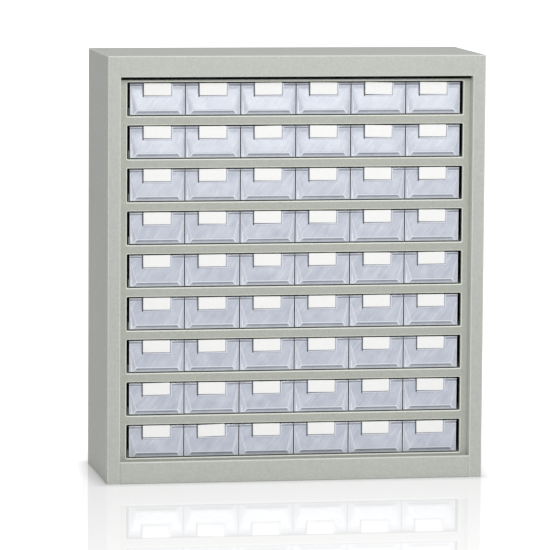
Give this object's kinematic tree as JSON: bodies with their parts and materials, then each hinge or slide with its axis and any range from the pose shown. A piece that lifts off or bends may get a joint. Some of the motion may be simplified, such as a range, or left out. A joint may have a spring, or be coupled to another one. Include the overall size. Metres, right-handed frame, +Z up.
{
  "type": "small parts drawer cabinet",
  "caption": "Free-standing sheet-steel cabinet with rows of small clear pull-out drawers, each with a label card.",
  "frame": {"origin": "middle of the rectangle that the cabinet stands on", "axes": "+X along the width to the right of someone facing the drawers, +Y to the back, +Z up"},
  "size_m": [0.5846, 0.222, 0.6535],
  "materials": {
    "powder_coated_steel": "satin",
    "clear_plastic": "gloss"
  },
  "bodies": {
    "cabinet": {"outer_wrap": "powder_coated_steel", "bottom_panel": "powder_coated_steel", "back_panel": "powder_coated_steel", "face_frame": "powder_coated_steel", "drawer_shelves": "powder_coated_steel", "drawer_guides": "powder_coated_steel"},
    "drawer_row1_col1": {"drawer_row1_col1": "clear_plastic"},
    "drawer_row1_col2": {"drawer_row1_col2": "clear_plastic"},
    "drawer_row1_col3": {"drawer_row1_col3": "clear_plastic"},
    "drawer_row1_col4": {"drawer_row1_col4": "clear_plastic"},
    "drawer_row1_col5": {"drawer_row1_col5": "clear_plastic"},
    "drawer_row1_col6": {"drawer_row1_col6": "clear_plastic"},
    "drawer_row2_col1": {"drawer_row2_col1": "clear_plastic"},
    "drawer_row2_col2": {"drawer_row2_col2": "clear_plastic"},
    "drawer_row2_col3": {"drawer_row2_col3": "clear_plastic"},
    "drawer_row2_col4": {"drawer_row2_col4": "clear_plastic"},
    "drawer_row2_col5": {"drawer_row2_col5": "clear_plastic"},
    "drawer_row2_col6": {"drawer_row2_col6": "clear_plastic"},
    "drawer_row3_col1": {"drawer_row3_col1": "clear_plastic"},
    "drawer_row3_col2": {"drawer_row3_col2": "clear_plastic"},
    "drawer_row3_col3": {"drawer_row3_col3": "clear_plastic"},
    "drawer_row3_col4": {"drawer_row3_col4": "clear_plastic"},
    "drawer_row3_col5": {"drawer_row3_col5": "clear_plastic"},
    "drawer_row3_col6": {"drawer_row3_col6": "clear_plastic"},
    "drawer_row4_col1": {"drawer_row4_col1": "clear_plastic"},
    "drawer_row4_col2": {"drawer_row4_col2": "clear_plastic"},
    "drawer_row4_col3": {"drawer_row4_col3": "clear_plastic"},
    "drawer_row4_col4": {"drawer_row4_col4": "clear_plastic"},
    "drawer_row4_col5": {"drawer_row4_col5": "clear_plastic"},
    "drawer_row4_col6": {"drawer_row4_col6": "clear_plastic"},
    "drawer_row5_col1": {"drawer_row5_col1": "clear_plastic"},
    "drawer_row5_col2": {"drawer_row5_col2": "clear_plastic"},
    "drawer_row5_col3": {"drawer_row5_col3": "clear_plastic"},
    "drawer_row5_col4": {"drawer_row5_col4": "clear_plastic"},
    "drawer_row5_col5": {"drawer_row5_col5": "clear_plastic"},
    "drawer_row5_col6": {"drawer_row5_col6": "clear_plastic"},
    "drawer_row6_col1": {"drawer_row6_col1": "clear_plastic"},
    "drawer_row6_col2": {"drawer_row6_col2": "clear_plastic"},
    "drawer_row6_col3": {"drawer_row6_col3": "clear_plastic"},
    "drawer_row6_col4": {"drawer_row6_col4": "clear_plastic"},
    "drawer_row6_col5": {"drawer_row6_col5": "clear_plastic"},
    "drawer_row6_col6": {"drawer_row6_col6": "clear_plastic"},
    "drawer_row7_col1": {"drawer_row7_col1": "clear_plastic"},
    "drawer_row7_col2": {"drawer_row7_col2": "clear_plastic"},
    "drawer_row7_col3": {"drawer_row7_col3": "clear_plastic"},
    "drawer_row7_col4": {"drawer_row7_col4": "clear_plastic"},
    "drawer_row7_col5": {"drawer_row7_col5": "clear_plastic"},
    "drawer_row7_col6": {"drawer_row7_col6": "clear_plastic"},
    "drawer_row8_col1": {"drawer_row8_col1": "clear_plastic"},
    "drawer_row8_col2": {"drawer_row8_col2": "clear_plastic"},
    "drawer_row8_col3": {"drawer_row8_col3": "clear_plastic"},
    "drawer_row8_col4": {"drawer_row8_col4": "clear_plastic"},
    "drawer_row8_col5": {"drawer_row8_col5": "clear_plastic"},
    "drawer_row8_col6": {"drawer_row8_col6": "clear_plastic"},
    "drawer_row9_col1": {"drawer_row9_col1": "clear_plastic"},
    "drawer_row9_col2": {"drawer_row9_col2": "clear_plastic"},
    "drawer_row9_col3": {"drawer_row9_col3": "clear_plastic"},
    "drawer_row9_col4": {"drawer_row9_col4": "clear_plastic"},
    "drawer_row9_col5": {"drawer_row9_col5": "clear_plastic"},
    "drawer_row9_col6": {"drawer_row9_col6": "clear_plastic"}
  },
  "joints": [
    {"name": "slide_row1_col1", "type": "slide", "parent": "cabinet", "child": "drawer_row1_col1", "axis": [0, -1, 0], "range_m": [0, 0.1575]},
    {"name": "slide_row1_col2", "type": "slide", "parent": "cabinet", "child": "drawer_row1_col2", "axis": [0, -1, 0], "range_m": [0, 0.1575]},
    {"name": "slide_row1_col3", "type": "slide", "parent": "cabinet", "child": "drawer_row1_col3", "axis": [0, -1, 0], "range_m": [0, 0.1575]},
    {"name": "slide_row1_col4", "type": "slide", "parent": "cabinet", "child": "drawer_row1_col4", "axis": [0, -1, 0], "range_m": [0, 0.1575]},
    {"name": "slide_row1_col5", "type": "slide", "parent": "cabinet", "child": "drawer_row1_col5", "axis": [0, -1, 0], "range_m": [0, 0.1575]},
    {"name": "slide_row1_col6", "type": "slide", "parent": "cabinet", "child": "drawer_row1_col6", "axis": [0, -1, 0], "range_m": [0, 0.1575]},
    {"name": "slide_row2_col1", "type": "slide", "parent": "cabinet", "child": "drawer_row2_col1", "axis": [0, -1, 0], "range_m": [0, 0.1575]},
    {"name": "slide_row2_col2", "type": "slide", "parent": "cabinet", "child": "drawer_row2_col2", "axis": [0, -1, 0], "range_m": [0, 0.1575]},
    {"name": "slide_row2_col3", "type": "slide", "parent": "cabinet", "child": "drawer_row2_col3", "axis": [0, -1, 0], "range_m": [0, 0.1575]},
    {"name": "slide_row2_col4", "type": "slide", "parent": "cabinet", "child": "drawer_row2_col4", "axis": [0, -1, 0], "range_m": [0, 0.1575]},
    {"name": "slide_row2_col5", "type": "slide", "parent": "cabinet", "child": "drawer_row2_col5", "axis": [0, -1, 0], "range_m": [0, 0.1575]},
    {"name": "slide_row2_col6", "type": "slide", "parent": "cabinet", "child": "drawer_row2_col6", "axis": [0, -1, 0], "range_m": [0, 0.1575]},
    {"name": "slide_row3_col1", "type": "slide", "parent": "cabinet", "child": "drawer_row3_col1", "axis": [0, -1, 0], "range_m": [0, 0.1575]},
    {"name": "slide_row3_col2", "type": "slide", "parent": "cabinet", "child": "drawer_row3_col2", "axis": [0, -1, 0], "range_m": [0, 0.1575]},
    {"name": "slide_row3_col3", "type": "slide", "parent": "cabinet", "child": "drawer_row3_col3", "axis": [0, -1, 0], "range_m": [0, 0.1575]},
    {"name": "slide_row3_col4", "type": "slide", "parent": "cabinet", "child": "drawer_row3_col4", "axis": [0, -1, 0], "range_m": [0, 0.1575]},
    {"name": "slide_row3_col5", "type": "slide", "parent": "cabinet", "child": "drawer_row3_col5", "axis": [0, -1, 0], "range_m": [0, 0.1575]},
    {"name": "slide_row3_col6", "type": "slide", "parent": "cabinet", "child": "drawer_row3_col6", "axis": [0, -1, 0], "range_m": [0, 0.1575]},
    {"name": "slide_row4_col1", "type": "slide", "parent": "cabinet", "child": "drawer_row4_col1", "axis": [0, -1, 0], "range_m": [0, 0.1575]},
    {"name": "slide_row4_col2", "type": "slide", "parent": "cabinet", "child": "drawer_row4_col2", "axis": [0, -1, 0], "range_m": [0, 0.1575]},
    {"name": "slide_row4_col3", "type": "slide", "parent": "cabinet", "child": "drawer_row4_col3", "axis": [0, -1, 0], "range_m": [0, 0.1575]},
    {"name": "slide_row4_col4", "type": "slide", "parent": "cabinet", "child": "drawer_row4_col4", "axis": [0, -1, 0], "range_m": [0, 0.1575]},
    {"name": "slide_row4_col5", "type": "slide", "parent": "cabinet", "child": "drawer_row4_col5", "axis": [0, -1, 0], "range_m": [0, 0.1575]},
    {"name": "slide_row4_col6", "type": "slide", "parent": "cabinet", "child": "drawer_row4_col6", "axis": [0, -1, 0], "range_m": [0, 0.1575]},
    {"name": "slide_row5_col1", "type": "slide", "parent": "cabinet", "child": "drawer_row5_col1", "axis": [0, -1, 0], "range_m": [0, 0.1575]},
    {"name": "slide_row5_col2", "type": "slide", "parent": "cabinet", "child": "drawer_row5_col2", "axis": [0, -1, 0], "range_m": [0, 0.1575]},
    {"name": "slide_row5_col3", "type": "slide", "parent": "cabinet", "child": "drawer_row5_col3", "axis": [0, -1, 0], "range_m": [0, 0.1575]},
    {"name": "slide_row5_col4", "type": "slide", "parent": "cabinet", "child": "drawer_row5_col4", "axis": [0, -1, 0], "range_m": [0, 0.1575]},
    {"name": "slide_row5_col5", "type": "slide", "parent": "cabinet", "child": "drawer_row5_col5", "axis": [0, -1, 0], "range_m": [0, 0.1575]},
    {"name": "slide_row5_col6", "type": "slide", "parent": "cabinet", "child": "drawer_row5_col6", "axis": [0, -1, 0], "range_m": [0, 0.1575]},
    {"name": "slide_row6_col1", "type": "slide", "parent": "cabinet", "child": "drawer_row6_col1", "axis": [0, -1, 0], "range_m": [0, 0.1575]},
    {"name": "slide_row6_col2", "type": "slide", "parent": "cabinet", "child": "drawer_row6_col2", "axis": [0, -1, 0], "range_m": [0, 0.1575]},
    {"name": "slide_row6_col3", "type": "slide", "parent": "cabinet", "child": "drawer_row6_col3", "axis": [0, -1, 0], "range_m": [0, 0.1575]},
    {"name": "slide_row6_col4", "type": "slide", "parent": "cabinet", "child": "drawer_row6_col4", "axis": [0, -1, 0], "range_m": [0, 0.1575]},
    {"name": "slide_row6_col5", "type": "slide", "parent": "cabinet", "child": "drawer_row6_col5", "axis": [0, -1, 0], "range_m": [0, 0.1575]},
    {"name": "slide_row6_col6", "type": "slide", "parent": "cabinet", "child": "drawer_row6_col6", "axis": [0, -1, 0], "range_m": [0, 0.1575]},
    {"name": "slide_row7_col1", "type": "slide", "parent": "cabinet", "child": "drawer_row7_col1", "axis": [0, -1, 0], "range_m": [0, 0.1575]},
    {"name": "slide_row7_col2", "type": "slide", "parent": "cabinet", "child": "drawer_row7_col2", "axis": [0, -1, 0], "range_m": [0, 0.1575]},
    {"name": "slide_row7_col3", "type": "slide", "parent": "cabinet", "child": "drawer_row7_col3", "axis": [0, -1, 0], "range_m": [0, 0.1575]},
    {"name": "slide_row7_col4", "type": "slide", "parent": "cabinet", "child": "drawer_row7_col4", "axis": [0, -1, 0], "range_m": [0, 0.1575]},
    {"name": "slide_row7_col5", "type": "slide", "parent": "cabinet", "child": "drawer_row7_col5", "axis": [0, -1, 0], "range_m": [0, 0.1575]},
    {"name": "slide_row7_col6", "type": "slide", "parent": "cabinet", "child": "drawer_row7_col6", "axis": [0, -1, 0], "range_m": [0, 0.1575]},
    {"name": "slide_row8_col1", "type": "slide", "parent": "cabinet", "child": "drawer_row8_col1", "axis": [0, -1, 0], "range_m": [0, 0.1575]},
    {"name": "slide_row8_col2", "type": "slide", "parent": "cabinet", "child": "drawer_row8_col2", "axis": [0, -1, 0], "range_m": [0, 0.1575]},
    {"name": "slide_row8_col3", "type": "slide", "parent": "cabinet", "child": "drawer_row8_col3", "axis": [0, -1, 0], "range_m": [0, 0.1575]},
    {"name": "slide_row8_col4", "type": "slide", "parent": "cabinet", "child": "drawer_row8_col4", "axis": [0, -1, 0], "range_m": [0, 0.1575]},
    {"name": "slide_row8_col5", "type": "slide", "parent": "cabinet", "child": "drawer_row8_col5", "axis": [0, -1, 0], "range_m": [0, 0.1575]},
    {"name": "slide_row8_col6", "type": "slide", "parent": "cabinet", "child": "drawer_row8_col6", "axis": [0, -1, 0], "range_m": [0, 0.1575]},
    {"name": "slide_row9_col1", "type": "slide", "parent": "cabinet", "child": "drawer_row9_col1", "axis": [0, -1, 0], "range_m": [0, 0.1575]},
    {"name": "slide_row9_col2", "type": "slide", "parent": "cabinet", "child": "drawer_row9_col2", "axis": [0, -1, 0], "range_m": [0, 0.1575]},
    {"name": "slide_row9_col3", "type": "slide", "parent": "cabinet", "child": "drawer_row9_col3", "axis": [0, -1, 0], "range_m": [0, 0.1575]},
    {"name": "slide_row9_col4", "type": "slide", "parent": "cabinet", "child": "drawer_row9_col4", "axis": [0, -1, 0], "range_m": [0, 0.1575]},
    {"name": "slide_row9_col5", "type": "slide", "parent": "cabinet", "child": "drawer_row9_col5", "axis": [0, -1, 0], "range_m": [0, 0.1575]},
    {"name": "slide_row9_col6", "type": "slide", "parent": "cabinet", "child": "drawer_row9_col6", "axis": [0, -1, 0], "range_m": [0, 0.1575]}
  ]
}
